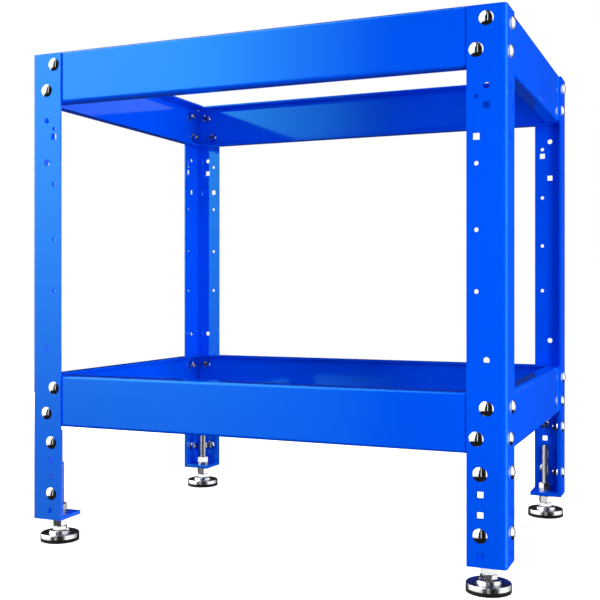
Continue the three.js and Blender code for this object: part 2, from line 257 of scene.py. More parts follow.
def folded(blank, strips, start, to_place, name):
    """Folds a blank to a right angle at each fold, and makes it a painted object of the frame.

    The strips run across the blank from its first edge. The section starts at the given point
    and heads for the first fold, with the sheet's inner face on its left.
    """
    for kind, low, high in fold_lines(strips):
        steps = FOLD_STEPS if kind == "fold" else 1
        for step in range(steps + 1):
            cut = low + (high - low) * step / steps
            geometry = blank.verts[:] + blank.edges[:] + blank.faces[:]
            bmesh.ops.bisect_plane(blank, geom=geometry, plane_co=(cut, 0, 0), plane_no=(1, 0, 0))
    in_fold = {}
    for face in blank.faces:
        middle = face.calc_center_median().x
        in_fold[face] = any(kind == "fold" and low < middle < high
                            for kind, low, high in fold_lines(strips))
    for vert in blank.verts:
        point, heading = Vector(start[0]), Vector(start[1])
        across, along, depth = vert.co.x, vert.co.y, -vert.co.z
        for kind, low, high in fold_lines(strips):
            inward = Vector((-heading.y, heading.x))
            done = min(max(across, low), high) - low
            if kind == "fold":
                turn = Matrix.Rotation(done / FOLD_LENGTH * QUARTER, 2)
                centre = point + inward * BEND
                point = centre - (turn @ inward) * BEND
                heading = turn @ heading
            else:
                point = point + heading * done
            if across <= high:
                break
        inward = Vector((-heading.y, heading.x))
        section = point + inward * depth
        vert.co = to_place(section.x, section.y, along)
    for face in blank.faces:
        face.smooth = in_fold[face]
    bmesh.ops.recalc_face_normals(blank, faces=blank.faces)
    return painted(blank, name, EDGE_ROUND)


def painted(shape, name, edge_round):
    """Rounds a shape's sharp edges, and makes it a painted object of the frame."""
    sharp_mesh = bpy.data.meshes.new(name)
    shape.to_mesh(sharp_mesh)
    shape.free()
    thing = bpy.data.objects.new(name, sharp_mesh)
    bpy.context.scene.collection.objects.link(thing)
    bevel = thing.modifiers.new("edges", "BEVEL")
    bevel.width = edge_round
    bevel.segments = EDGE_STEPS
    bevel.limit_method = "ANGLE"
    bevel.angle_limit = EDGE_ANGLE
    depsgraph = bpy.context.evaluated_depsgraph_get()
    thing.data = bpy.data.meshes.new_from_object(thing.evaluated_get(depsgraph))
    thing.modifiers.clear()
    bpy.data.meshes.remove(sharp_mesh)
    thing.data.name = name
    thing.data.materials.append(powder_coat)
    return thing


LEG_LENGTH = 696.4 * MM
LEG_FLANGE = 50.2 * MM
LEG_FLAT = LEG_FLANGE - BEND
LEG_STRIPS = (("flat", LEG_FLAT), ("fold", FOLD_LENGTH), ("flat", LEG_FLAT))
LEG_BLANK = 2 * LEG_FLAT + FOLD_LENGTH
CORNER_COLUMN = 25.2 * MM
FREE_COLUMN = CORNER_COLUMN + 12.7 * MM
BRACKET_COLUMN = 33.2 * MM
SQUARE_HOLE = 8.7 * MM
LARGE_HOLE = 8.3 * MM
SMALL_HOLE = 6 * MM
LARGE_HOLE_HEIGHTS = (256.7 * MM, 596.2 * MM)
SMALL_HOLE_HEIGHTS = (341.7 * MM, 418.3 * MM, 500.7 * MM, 583.4 * MM)
BRACKET_FIRST_ROW = 13.6 * MM
BRACKET_ROW_PITCH = 25.4 * MM
LEG_ROWS = (0, 1, 2, 3, 4)
TOP_RAIL = 660.4 * MM
SPARE_RAIL = 553.05 * MM
SHELF_RAIL = 177.8 * MM
RAIL_BOLT_ROW = 19.05 * MM

# The second flange comes first across the blank; its upper rail bolts are the ones by the corner.
FLANGES = {
    "second": {"upper": CORNER_COLUMN, "lower": FREE_COLUMN, "across": lambda x: LEG_FLANGE - x},
    "first": {"upper": FREE_COLUMN, "lower": CORNER_COLUMN,
              "across": lambda x: LEG_BLANK - LEG_FLANGE + x},
}


def row_height(row):
    """The height of a row of bracket holes above the leg's foot."""
    return BRACKET_FIRST_ROW + row * BRACKET_ROW_PITCH


leg_holes = []
for flange in FLANGES.values():
    across = flange["across"]
    for station in (TOP_RAIL, SPARE_RAIL, SHELF_RAIL):
        upper, lower = station + RAIL_BOLT_ROW, station - RAIL_BOLT_ROW
        leg_holes.append(square_hole(across(flange["upper"]), upper, SQUARE_HOLE))
        leg_holes.append(square_hole(across(flange["lower"]), lower, SQUARE_HOLE))
    for row in LEG_ROWS:
        leg_holes.append(square_hole(across(BRACKET_COLUMN), row_height(row), SQUARE_HOLE))
    for height in LARGE_HOLE_HEIGHTS:
        leg_holes.append(round_hole(across(CORNER_COLUMN), height, LARGE_HOLE))
    for height in SMALL_HOLE_HEIGHTS:
        leg_holes.append(round_hole(across(FREE_COLUMN), height, SMALL_HOLE))
leg_outline = [(0, 0), (LEG_BLANK, 0), (LEG_BLANK, LEG_LENGTH), (0, LEG_LENGTH)]

for corner, to_stand in CORNERS.items():
    leg = folded(
        punched_blank(leg_outline, leg_holes),
        LEG_STRIPS,
        ((0, LEG_FLANGE), (0, -1)),
        lambda x, y, along: to_stand @ Vector((x, y, along)),
        f"leg_{corner}_pressed",
    )
    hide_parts(f"leg_{corner}")
    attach(leg, "frame")


# Rails: eight channels of one section, with a wide and a narrow flange whose ends are cut to a
# mitre, so that four of them make a picture frame. The top ring has its wide flanges up for the
# worktop. The shelf ring is turned over, and its wide flanges are the shelf's ledge.
SEAT_GAP = 0.3 * MM
RAIL_HEIGHT = 76.2 * MM
WIDE_FLANGE = 31 * MM
NARROW_FLANGE = 21 * MM
RAIL_HOLE = 9 * MM
RAIL_FACE = STEEL + SEAT_GAP
CORNER_GAP = 0.58 * MM
WEB_END = RAIL_FACE + STEEL + CORNER_GAP
MITRE_SLIT = 2.8 * MM
MITRE_SETBACK = MITRE_SLIT / math.sqrt(2)
WEB_FLAT = RAIL_HEIGHT - 2 * BEND
WEB_START = WIDE_FLANGE - BEND + FOLD_LENGTH
WEB_MIDDLE = WEB_START + WEB_FLAT / 2
RAIL_STRIPS = (
    ("flat", WIDE_FLANGE - BEND),
    ("fold", FOLD_LENGTH),
    ("flat", WEB_FLAT),
    ("fold", FOLD_LENGTH),
    ("flat", NARROW_FLANGE - BEND),
)
RAIL_BLANK = sum(length for _, length in RAIL_STRIPS)
RAIL_SIDES = {
    "front": ((0, -1), 0, STAND_WIDTH),
    "right": ((1, 0), 1, STAND_DEPTH),
    "back": ((0, 1), 2, STAND_WIDTH),
    "left": ((-1, 0), 3, STAND_DEPTH),
}
TURNED_OVER = Matrix.Rotation(math.pi, 4, "Y")


def rail_end(depth, span):
    """How far a rail reaches from its middle, at a depth behind its outer face."""
    return min(span / 2 - WEB_END, span / 2 - MITRE_SETBACK - RAIL_FACE - depth)


def rail_outline(span):
    """The blank's outline: mitred flanges, with the mitre carried round each fold."""
    right = [(0, rail_end(WIDE_FLANGE, span))]
    for start, curve in ((WIDE_FLANGE - BEND, math.sin), (WEB_START + WEB_FLAT, math.cos)):
        for step in range(FOLD_STEPS + 1):
            turned = step / FOLD_STEPS
            depth = BEND * (1 - curve(turned * QUARTER))
            right.append((start + turned * FOLD_LENGTH, rail_end(depth, span)))
    right.append((RAIL_BLANK, rail_end(NARROW_FLANGE, span)))
    return right + [(u, -v) for u, v in reversed(right)]


for side, ((x, y), turn, span) in RAIL_SIDES.items():
    near, far = span / 2 - CORNER_COLUMN, span / 2 - FREE_COLUMN
    rail_holes = [
        round_hole(WEB_MIDDLE - RAIL_BOLT_ROW, near, RAIL_HOLE),
        round_hole(WEB_MIDDLE + RAIL_BOLT_ROW, far, RAIL_HOLE),
        round_hole(WEB_MIDDLE - RAIL_BOLT_ROW, -far, RAIL_HOLE),
        round_hole(WEB_MIDDLE + RAIL_BOLT_ROW, -near, RAIL_HOLE),
    ]
    for ring, height, flip in (("top", TOP_RAIL, Matrix()), ("shelf", SHELF_RAIL, TURNED_OVER)):
        to_stand = (
            Matrix.Translation((x * STAND_WIDTH / 2, y * STAND_DEPTH / 2, FOOT_HEIGHT + height))
            @ Matrix.Rotation(turn * QUARTER, 4, "Z")
            @ flip
        )
        rail = folded(
            punched_blank(rail_outline(span), rail_holes),
            RAIL_STRIPS,
            ((WIDE_FLANGE, RAIL_HEIGHT / 2), (-1, 0)),
            lambda y, z, along: to_stand @ Vector((along, RAIL_FACE + y, z)),
            f"{ring}_rail_{side}_pressed",
        )
        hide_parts(f"{ring}_rail_{side}")
        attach(rail, "frame")


# Foot brackets: a short angle nested in the leg, its top corners clipped, with square holes on
# the leg's bracket column. A thick plate is welded across its lower end and takes the foot's stem.
BRACKET_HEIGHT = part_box("foot_bracket_front_left")[1].z - FOOT_HEIGHT
BRACKET_REACH = LEG_FLANGE - RAIL_FACE
BRACKET_FLAT = BRACKET_REACH - BEND
BRACKET_STRIPS = (("flat", BRACKET_FLAT), ("fold", FOLD_LENGTH), ("flat", BRACKET_FLAT))
BRACKET_BLANK = 2 * BRACKET_FLAT + FOLD_LENGTH
BRACKET_ROWS = (1, 2, 3, 4)
CORNER_CUT = 4 * MM
PLATE = 6 * MM
PLATE_EDGE_ROUND = 0.6 * MM
STEM_OFFSET = 28.3 * MM
STEM_HOLE = 13.5 * MM
STEM_HOLE_STEPS = 32


def plate_shape(to_stand):
    """The bottom plate, with the stem's hole, inside the angle."""
    near = 2 * STEEL + SEAT_GAP
    low, high = near - STEM_OFFSET, LEG_FLANGE - STEM_OFFSET
    plate = bmesh.new()
    rings = []
    for z in (0, PLATE):
        hole, rim = [], []
        for step in range(STEM_HOLE_STEPS):
            angle = QUARTER / 2 + step * 2 * math.pi / STEM_HOLE_STEPS
            x, y = math.cos(angle), math.sin(angle)
            reach = max(abs(x), abs(y))
            edge = [high * e if e > 0 else -low * e for e in Vector((x / reach, y / reach))]
            hole.append(plate.verts.new((x * STEM_HOLE / 2, y * STEM_HOLE / 2, z)))
            rim.append(plate.verts.new((*edge, z)))
        rings.append((hole, rim))
    (low_hole, low_rim), (high_hole, high_rim) = rings
    for index in range(STEM_HOLE_STEPS):
        after = (index + 1) % STEM_HOLE_STEPS
        for first, second in ((low_hole, low_rim), (low_rim, high_rim), (high_rim, high_hole),
                              (high_hole, low_hole)):
            plate.faces.new((first[index], first[after], second[after], second[index]))
    bmesh.ops.recalc_face_normals(plate, faces=plate.faces)
    plate.transform(to_stand @ Matrix.Translation((STEM_OFFSET, STEM_OFFSET, 0)))
    return plate


bracket_holes = []
for across in (lambda x: BRACKET_REACH - x, lambda x: BRACKET_BLANK - BRACKET_REACH + x):
    for row in BRACKET_ROWS:
        column = across(BRACKET_COLUMN - RAIL_FACE)
        bracket_holes.append(square_hole(column, row_height(row), SQUARE_HOLE))
bracket_outline = [
    (0, 0),
    (BRACKET_BLANK, 0),
    (BRACKET_BLANK, BRACKET_HEIGHT - CORNER_CUT),
    (BRACKET_BLANK - CORNER_CUT, BRACKET_HEIGHT),
    (CORNER_CUT, BRACKET_HEIGHT),
    (0, BRACKET_HEIGHT - CORNER_CUT),
]

for corner, to_stand in CORNERS.items():
    bracket = folded(
        punched_blank(bracket_outline, bracket_holes),
        BRACKET_STRIPS,
        ((RAIL_FACE, LEG_FLANGE), (0, -1)),
        lambda x, y, along: to_stand @ Vector((x, y, along)),
        f"foot_bracket_{corner}_pressed",
    )
    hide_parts(f"foot_bracket_{corner}")
    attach(bracket, "frame")
    plate = painted(plate_shape(to_stand), f"foot_plate_{corner}", PLATE_EDGE_ROUND)
    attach(plate, "frame")


# Bolts: polished carriage bolts with low domed heads, through square holes that hold their necks.
# Behind the sheet each has a flange nut with a toothed skirt, run down to whatever angle it
# stopped at, and two or three turns of thread show past it.
CHROME_TINT = (0.80, 0.81, 0.83, 1)
CHROME_DULL = (0.62, 0.63, 0.65, 1)
CHROME_ROUGHNESS = 0.07
POLISH_ROUGHNESS = 0.08
POLISH_SIZE = 5 * MM
POLISH_DEPTH = 0.02 * MM
POLISH_STRENGTH = 0.1

chrome, wire, place = new_material("polished_bolt_plate")
polish = noise(wire, place, POLISH_SIZE, 3)
finish_surface(wire, {
    "Base Color": mixed(wire, polish, CHROME_TINT, CHROME_DULL),
    "Metallic": 1.0,
    "Roughness": CHROME_ROUGHNESS + POLISH_ROUGHNESS * polish,
    "Normal": bump(wire, POLISH_STRENGTH, POLISH_DEPTH, polish),
})

BOLT_LENGTH = 15.9 * MM
BOLT_CHAMFER = 0.5 * MM
SHANK = 7.94 * MM
SHANK_PITCH = 1.41 * MM
SHANK_THREAD = 0.7 * MM
SHANK_STEPS = 24
HEAD = 18.5 * MM
HEAD_HEIGHT = 4.4 * MM
HEAD_LIP = 0.5 * MM
HEAD_EDGE = 0.3 * MM
HEAD_STEPS = 8
NECK = 7.9 * MM
NECK_INSET = 0.1 * MM
GRIP = 2 * STEEL + SEAT_GAP
NUT_SEAT = GRIP + SEAT_GAP
NUT_HEIGHT = 8 * MM
NUT_WIDTH = 12.7 * MM
NUT_CLEARANCE = 0.05 * MM
NUT_RECESS = 0.3 * MM
NUT_RECESS_RIM = 1.2 * MM
SKIRT = 17.3 * MM
SKIRT_EDGE = 0.9 * MM
SKIRT_TOP = 2.6 * MM
SKIRT_WAIST = NUT_WIDTH / 2 * 1.12
SKIRT_CHAMFERS = (0.3 * MM, 0.1 * MM)
TEETH = 24
TOOTH_DEPTH = 0.25 * MM
TURNED_STEPS = 48
CHAMFER_CIRCLE = 0.97
CHAMFER_SLOPE = math.tan(math.radians(30))
BORE_LEAD = 0.06
THREAD_FORM = (1, 1, 0.5, 0, 0, 0.5)
MERGE = 0.001 * MM
CREASE = math.radians(30)
BOLTED_ROWS = (1, 4)


def add_rings(shape, rings, close_ends=True):
    """Skins a stack of closed rings of equal count, and caps the first and the last."""
    made = [[shape.verts.new(point) for point in ring] for ring in rings]
    for lower, upper in zip(made, made[1:]):
        for index in range(len(lower)):
            after = (index + 1) % len(lower)
            face = shape.faces.new((lower[index], lower[after], upper[after], upper[index]))
            face.smooth = True
    if close_ends:
        shape.faces.new(reversed(made[0]))
        shape.faces.new(made[-1])


def turned_ring(radius, height, steps=TURNED_STEPS):
    """A ring about Z. The radius and the height may each follow the angle."""
    ring = []
    for step in range(steps):
        angle = step * 2 * math.pi / steps
        r = radius(angle) if callable(radius) else radius
        z = height(angle) if callable(height) else height
        ring.append((r * math.cos(angle), r * math.sin(angle), z))
    return ring


def hexagon_radius(width, angle):
    """From the middle of a hexagon to its edge."""
    sixth = math.pi / 3
    return width / 2 / math.cos((angle + sixth / 2) % sixth - sixth / 2)


def add_hexagon(shape, width, low, high, chamfered=(True, True), bore=0.0, turn=0.0):
    """A hexagon with the scalloped edges that a turned chamfer leaves, and a bore if asked."""
    circle = width / 2 * CHAMFER_CIRCLE

    def radius(angle):
        return hexagon_radius(width, angle - turn)

    def drop(angle):
        return max(0.0, radius(angle) - circle) * CHAMFER_SLOPE

    def bottom(angle):
        return low + drop(angle) if chamfered[0] else low

    def top(angle):
        return high - drop(angle) if chamfered[1] else high

    rings = [
        turned_ring(circle, low),
        turned_ring(radius, bottom),
        turned_ring(radius, top),
        turned_ring(circle, high),
    ]
    if bore:
        lead = bore * BORE_LEAD
        rings = [
            turned_ring(bore + lead, low),
            *rings,
            turned_ring(bore + lead, high),
            turned_ring(bore, high - lead),
            turned_ring(bore, low + lead),
            turned_ring(bore + lead, low),
        ]
    add_rings(shape, rings, close_ends=not bore)


def add_thread(shape, radius, depth, pitch, low, high, chamfer, steps=TURNED_STEPS):
    """A threaded rod: rows that climb one pitch a turn, in and out of the thread."""
    spare_turns = 2
    rows = math.ceil((high - low) / pitch + spare_turns) * len(THREAD_FORM)
    grid = []
    for step in range(steps + 1):
        angle = step * 2 * math.pi / steps
        climb = pitch * (step / steps - 1)
        column = []
        for row in range(rows):
            z = min(max(low + pitch * row / len(THREAD_FORM) + climb, low), high)
            r = min(radius - depth * THREAD_FORM[row % len(THREAD_FORM)],
                    radius - chamfer + (high - z))
            column.append(shape.verts.new((r * math.cos(angle), r * math.sin(angle), z)))
        grid.append(column)
    for before, after in zip(grid, grid[1:]):
        for row in range(rows - 1):
            shape.faces.new((before[row], after[row], after[row + 1], before[row + 1]))
    made = [vert for column in grid for vert in column]
    bmesh.ops.remove_doubles(shape, verts=made, dist=MERGE)
    open_edges = [edge for edge in shape.edges if edge.is_boundary]
    bmesh.ops.holes_fill(shape, edges=open_edges, sides=0)


def finished_mesh(shape, name, material):
    """Merges what meets, creases the sharp edges, and gives the mesh its material."""
    mesh = bpy.data.meshes.new(name)
    bmesh.ops.remove_doubles(shape, verts=shape.verts, dist=MERGE)
    bmesh.ops.recalc_face_normals(shape, faces=shape.faces)
    shape.to_mesh(mesh)
    shape.free()
    mesh.set_sharp_from_angle(angle=CREASE)
    mesh.materials.append(material)
    return mesh


def bolt_mesh():
    """Head, square neck and threaded shank, along Z with the head's underside at zero."""
    bolt = bmesh.new()
    half = HEAD / 2
    dome_height = HEAD_HEIGHT - HEAD_LIP
    dome = (half ** 2 + dome_height ** 2) / (2 * dome_height)
    sweep = math.asin(half / dome)
    rings = [
        turned_ring(SHANK / 2, 0),
        turned_ring(half - HEAD_EDGE, 0),
        turned_ring(half, -HEAD_EDGE),
    ]
    for step in range(HEAD_STEPS):
        angle = sweep * (1 - step / HEAD_STEPS)
        height = dome - HEAD_HEIGHT - dome * math.cos(angle)
        rings.append(turned_ring(dome * math.sin(angle), height))
    add_rings(bolt, rings)
    neck = bmesh.ops.create_cube(bolt, size=1)["verts"]
    bmesh.ops.scale(bolt, verts=neck, vec=(NECK, NECK, GRIP))
    bmesh.ops.translate(bolt, verts=neck, vec=(0, 0, GRIP / 2 - NECK_INSET))
    add_thread(bolt, SHANK / 2, SHANK_THREAD, SHANK_PITCH, GRIP / 2, BOLT_LENGTH, BOLT_CHAMFER,
               SHANK_STEPS)
    return finished_mesh(bolt, "carriage_bolt", chrome)


def tooth_height(angle):
    """The height of the toothed skirt's lower edge, round the nut."""
    return TOOTH_DEPTH * (0.5 + 0.5 * math.cos(TEETH * angle))


def nut_mesh():
    """A flange nut along Z with its toothed face at zero."""
    nut = bmesh.new()
    bore = SHANK / 2 + NUT_CLEARANCE
    lower_chamfer, upper_chamfer = SKIRT_CHAMFERS
    add_rings(nut, [
        turned_ring(bore, NUT_RECESS),
        turned_ring(bore + NUT_RECESS_RIM, NUT_RECESS),
        turned_ring(SKIRT / 2 - lower_chamfer, tooth_height),
        turned_ring(SKIRT / 2, SKIRT_EDGE / 2),
        turned_ring(SKIRT / 2 - upper_chamfer, SKIRT_EDGE),
        turned_ring(SKIRT_WAIST, SKIRT_TOP),
        turned_ring(bore, SKIRT_TOP),
        turned_ring(bore, NUT_RECESS),
    ], close_ends=False)
    add_hexagon(nut, NUT_WIDTH, SKIRT_EDGE, NUT_HEIGHT, (False, True), bore)
    return finished_mesh(nut, "flange_nut", chrome)


def bolt_places(heights_of):
    """Each bolt's place on a leg's outer face and the way that it points, in the stand's frame."""
    for to_stand in CORNERS.values():
        for along, inward, flange in (((1, 0, 0), (0, 1, 0), FLANGES["first"]),
                                      ((0, 1, 0), (1, 0, 0), FLANGES["second"])):
            for column, height in heights_of(flange):
                spot = Vector(along) * column + Vector((0, 0, height))
                yield to_stand @ spot, to_stand.to_3x3() @ Vector(inward)


def rail_bolts_on(flange):
    """The column and the height of each rail bolt on a flange."""
    for station in (TOP_RAIL, SHELF_RAIL):
        yield flange["upper"], station + RAIL_BOLT_ROW
        yield flange["lower"], station - RAIL_BOLT_ROW


def bracket_bolts_on(flange):
    """The column and the height of each bracket bolt, the same on both flanges."""
    for row in BOLTED_ROWS:
        yield BRACKET_COLUMN, row_height(row)


def placed(wire, thing, points, rotation):
    """Geometry Nodes: an object's shape at each point."""
    shape = wire.add("GeometryNodeObjectInfo", None, {"Object": thing}).out("Geometry")
    return wire.add("GeometryNodeInstanceOnPoints", None,
                    {"Points": points, "Instance": shape, "Rotation": rotation})


def bolting_tree():
    """Geometry Nodes: a bolt at each point, pointing its way, and a nut spun by chance."""
    tree = bpy.data.node_groups.new("bolts_on_points", "GeometryNodeTree")
    face = tree.interface
    face.new_socket("Geometry", in_out="INPUT", socket_type="NodeSocketGeometry")
    for name, kind in (("Bolt", "NodeSocketObject"), ("Nut", "NodeSocketObject"),
                       ("Nut Seat", "NodeSocketFloat"), ("Seed", "NodeSocketInt"),
                       ("Plate", "NodeSocketMaterial")):
        face.new_socket(name, in_out="INPUT", socket_type=kind)
    face.new_socket("Geometry", in_out="OUTPUT", socket_type="NodeSocketGeometry")
    wire = Wire(tree)
    given = wire.add("NodeGroupInput")
    pointing = wire.add("GeometryNodeInputNamedAttribute", {"data_type": "FLOAT_VECTOR"},
                        {"Name": "pointing"})
    turn = wire.add("FunctionNodeAlignRotationToVector", {"axis": "Z"}, {"Vector": pointing})
    least, most, number_out = 2, 3, 1
    spin = wire.add("FunctionNodeRandomValue", {"data_type": "FLOAT"},
                    {least: 0.0, most: math.tau, "Seed": given.out("Seed")}).out(number_out)
    about_axis = wire.add("ShaderNodeCombineXYZ", None, {"Z": spin})
    by_chance = wire.add("FunctionNodeEulerToRotation", None, {"Euler": about_axis})
    spun = wire.add("FunctionNodeRotateRotation", {"rotation_space": "LOCAL"},
                    {"Rotation": turn, "Rotate By": by_chance})
    seat = wire.add("ShaderNodeVectorMath", {"operation": "SCALE"},
                    {"Vector": pointing, "Scale": given.out("Nut Seat")})
    points = given.out("Geometry")
    behind = wire.add("GeometryNodeSetPosition", None, {"Geometry": points, "Offset": seat})
    bolts = placed(wire, given.out("Bolt"), points, turn)
    nuts = placed(wire, given.out("Nut"), behind, spun)
    joined = wire.add("GeometryNodeJoinGeometry", None, {"Geometry": bolts})
    tree.links.new(nuts.socket, joined.socket.node.inputs[0])
    solid = wire.add("GeometryNodeRealizeInstances", None, {"Geometry": joined})
    plated = wire.add("GeometryNodeSetMaterial", None,
                      {"Geometry": solid, "Material": given.out("Plate")})
    wire.add("NodeGroupOutput", None, {"Geometry": plated})
    return tree


def bolts_object(name, places, seed):
    """Runs the bolting tree on a set of places and keeps its result as a plain mesh."""
    spots = list(places)
    points = bpy.data.meshes.new(f"{name}_points")
    points.from_pydata([spot for spot, _ in spots], [], [])
    pointing = points.attributes.new("pointing", "FLOAT_VECTOR", "POINT")
    for index, (_, inward) in enumerate(spots):
        pointing.data[index].vector = inward
    thing = bpy.data.objects.new(name, points)
    bpy.context.scene.collection.objects.link(thing)
    modifier = thing.modifiers.new("bolts", "NODES")
    modifier.node_group = bolting
    given = {"Bolt": bolt_pattern, "Nut": nut_pattern, "Nut Seat": NUT_SEAT, "Seed": seed,
             "Plate": chrome}
    for socket in bolting.interface.items_tree:
        if socket.item_type == "SOCKET" and socket.in_out == "INPUT" and socket.name in given:
            modifier[socket.identifier] = given[socket.name]
    depsgraph = bpy.context.evaluated_depsgraph_get()
    result = bpy.data.meshes.new_from_object(thing.evaluated_get(depsgraph))
    thing.modifiers.clear()
    thing.data = result
    result.name = name
    bpy.data.meshes.remove(points)
    return thing


bolt_pattern = bpy.data.objects.new("bolt_pattern", bolt_mesh())
nut_pattern = bpy.data.objects.new("nut_pattern", nut_mesh())
bolting = bolting_tree()
rail_bolts = bolts_object("rail_bolts", bolt_places(rail_bolts_on), seed=3)
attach(rail_bolts, "frame")
bracket_bolts = bolts_object("bracket_bolts", bolt_places(bracket_bolts_on), seed=8)
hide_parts(*(f"bracket_bolt_{corner}_{count}"
                             for corner in CORNERS for count in (1, 2, 3, 4)))
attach(bracket_bolts, "frame")
bpy.data.objects.remove(bolt_pattern)
bpy.data.objects.remove(nut_pattern)


# Foot stems: threaded rod with a spanner hexagon, a neck and a ball at its lower end, all in
# bright zinc. The plate is silvery with a slight blue and yellow bloom, and duller in fine
# spangles.
ZINC = (0.72, 0.73, 0.75, 1)
ZINC_DULL = (0.50, 0.51, 0.53, 1)
ZINC_BLOOM = (0.74, 0.71, 0.60, 1)
ZINC_ROUGHNESS = 0.14
BLOOM_SIZE = 12 * MM
BLOOM_STRENGTH = 0.25
SPANGLE_SIZE = 1.2 * MM
SPANGLE_ROUGHNESS = 0.2
SPANGLE_DEPTH = 0.03 * MM
SPANGLE_STRENGTH = 0.15

zinc, wire, place = new_material("bright_zinc_plate")
bloom = noise(wire, place, BLOOM_SIZE)
spangle = noise(wire, place, SPANGLE_SIZE, 4)
plated = mixed(wire, spangle, ZINC, ZINC_DULL)
finish_surface(wire, {
    "Base Color": mixed(wire, BLOOM_STRENGTH * bloom, plated, ZINC_BLOOM),
    "Metallic": 1.0,
    "Roughness": ZINC_ROUGHNESS + SPANGLE_ROUGHNESS * spangle,
    "Normal": bump(wire, SPANGLE_STRENGTH, SPANGLE_DEPTH, spangle),
})

STEM = 12.7 * MM
STEM_PITCH = 1.954 * MM
STEM_THREAD = 1.05 * MM
STEM_CHAMFER = 1.2 * MM
STEM_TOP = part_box("foot_stem_front_left")[1].z
HEX_LOW = 15.6 * MM
HEX_HIGH = HEX_LOW + 6.6 * MM
HEX_WIDTH = 19.05 * MM
HEX_OVERLAP = 1 * MM
BALL = 11 * MM
BALL_HEIGHT = 9.5 * MM
BALL_STEPS = 12
NECK_WIDTH = 7.2 * MM
STEM_TURNS = {"front_left": 28, "front_right": 32, "back_right": 12, "back_left": 29}


def foot_place(corner):
    """From a foot's own axes, on the floor, to the stand's."""
    x, y = CORNERS[corner].translation.xy
    inset = STEM_OFFSET
    return Matrix.Translation((x - math.copysign(inset, x), y - math.copysign(inset, y), 0))


def foot_piece(shape, corner, name, material, body, replaced):
    """Puts a shape under its corner, as an object that takes the place of some CAD nodes."""
    shape.transform(foot_place(corner))
    piece = bpy.data.objects.new(name, finished_mesh(shape, name, material))
    bpy.context.scene.collection.objects.link(piece)
    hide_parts(*replaced)
    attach(piece, body)


ball_and_neck = []
neck_angle = math.pi - math.asin(NECK_WIDTH / BALL)
for step in range(BALL_STEPS):
    angle = neck_angle * (step + 1) / BALL_STEPS
    height = BALL_HEIGHT - BALL / 2 * math.cos(angle)
    ball_and_neck.append(turned_ring(BALL / 2 * math.sin(angle), height))
ball_and_neck.append(turned_ring(NECK_WIDTH / 2, HEX_LOW + HEX_OVERLAP))

for corner in CORNERS:
    stem = bmesh.new()
    add_rings(stem, ball_and_neck)
    add_hexagon(stem, HEX_WIDTH, HEX_LOW, HEX_HIGH)
    add_thread(stem, STEM / 2, STEM_THREAD, STEM_PITCH, HEX_HIGH - HEX_OVERLAP, STEM_TOP,
               STEM_CHAMFER)
    stem.transform(Matrix.Rotation(math.radians(STEM_TURNS[corner]), 4, "Z"))
    foot_piece(stem, corner, f"foot_stem_{corner}_threaded", zinc, f"stem_{corner}",
               [f"foot_stem_{corner}"])


# Foot nuts and washers: a plain hexagon nut under the bracket's plate sets the height, another
# above locks it, and each bears on a round washer. The nuts are chamfered on both faces.
FOOT_NUT_WIDTH = 19.05 * MM
FOOT_NUT_BORE = STEM / 2 + 0.1 * MM
WASHER = 23.4 * MM
WASHER_HOLE = 13.7 * MM
WASHER_EDGE = 0.35 * MM
NUT_TURNS = {
    "lower": {"front_left": 45, "front_right": 15, "back_right": 22.5, "back_left": 37.5},
    "upper": {"front_left": 0, "front_right": 7.5, "back_right": 52.5, "back_left": 30},
}

for corner in CORNERS:
    nuts = bmesh.new()
    washers = bmesh.new()
    for level, turns in NUT_TURNS.items():
        low, high = (end.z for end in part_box(f"{level}_nut_{corner}"))
        add_hexagon(nuts, FOOT_NUT_WIDTH, low, high, bore=FOOT_NUT_BORE,
                    turn=math.radians(turns[corner]))
        low, high = (end.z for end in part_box(f"{level}_washer_{corner}"))
        add_rings(washers, [
            turned_ring(WASHER_HOLE / 2, low),
            turned_ring(WASHER / 2 - WASHER_EDGE, low),
            turned_ring(WASHER / 2, low + WASHER_EDGE),
            turned_ring(WASHER / 2, high - WASHER_EDGE),
            turned_ring(WASHER / 2 - WASHER_EDGE, high),
            turned_ring(WASHER_HOLE / 2, high),
            turned_ring(WASHER_HOLE / 2, low),
        ], close_ends=False)
    foot_piece(nuts, corner, f"foot_nuts_{corner}", zinc, f"nuts_{corner}",
               [f"lower_nut_{corner}", f"upper_nut_{corner}"])
    foot_piece(washers, corner, f"foot_washers_{corner}", zinc, "frame",
               [f"lower_washer_{corner}", f"upper_washer_{corner}"])


# Foot cups: pressed steel discs in bright zinc, with a rolled rim, a shallow dish and a raised
# boss whose crown is closed in over the stem's ball.
CUP = 57.6 * MM
CUP_LOW = 5.0 * MM
CUP_TOP = 12 * MM
CUP_WALL = 2.5 * MM
CUP_FOOT_EDGE = 0.4 * MM
CUP_ROLL = 2 * MM
CUP_ROLL_STEPS = 6
CUP_STEPS = 96
DISH = 0.6 * MM
DISH_EDGE = 1.6 * MM
DISH_LEDGE = 0.6 * MM
DISH_LEDGE_DROP = 0.15 * MM
BOSS = 33 * MM
BOSS_TOP = 15.2 * MM
BOSS_SLOPE = 1.6 * MM
BOSS_STEPS = 5
CREST = 1.6 * MM
WELL = 1.8 * MM
SOCKET = 12 * MM
SOCKET_MOUTH = 9.8 * MM
SOCKET_WALL = 1.6 * MM
SOCKET_BODY = 18 * MM
SOCKET_LOW = BALL_HEIGHT - SOCKET / 2 - SOCKET_WALL
SOCKET_STEPS = 10


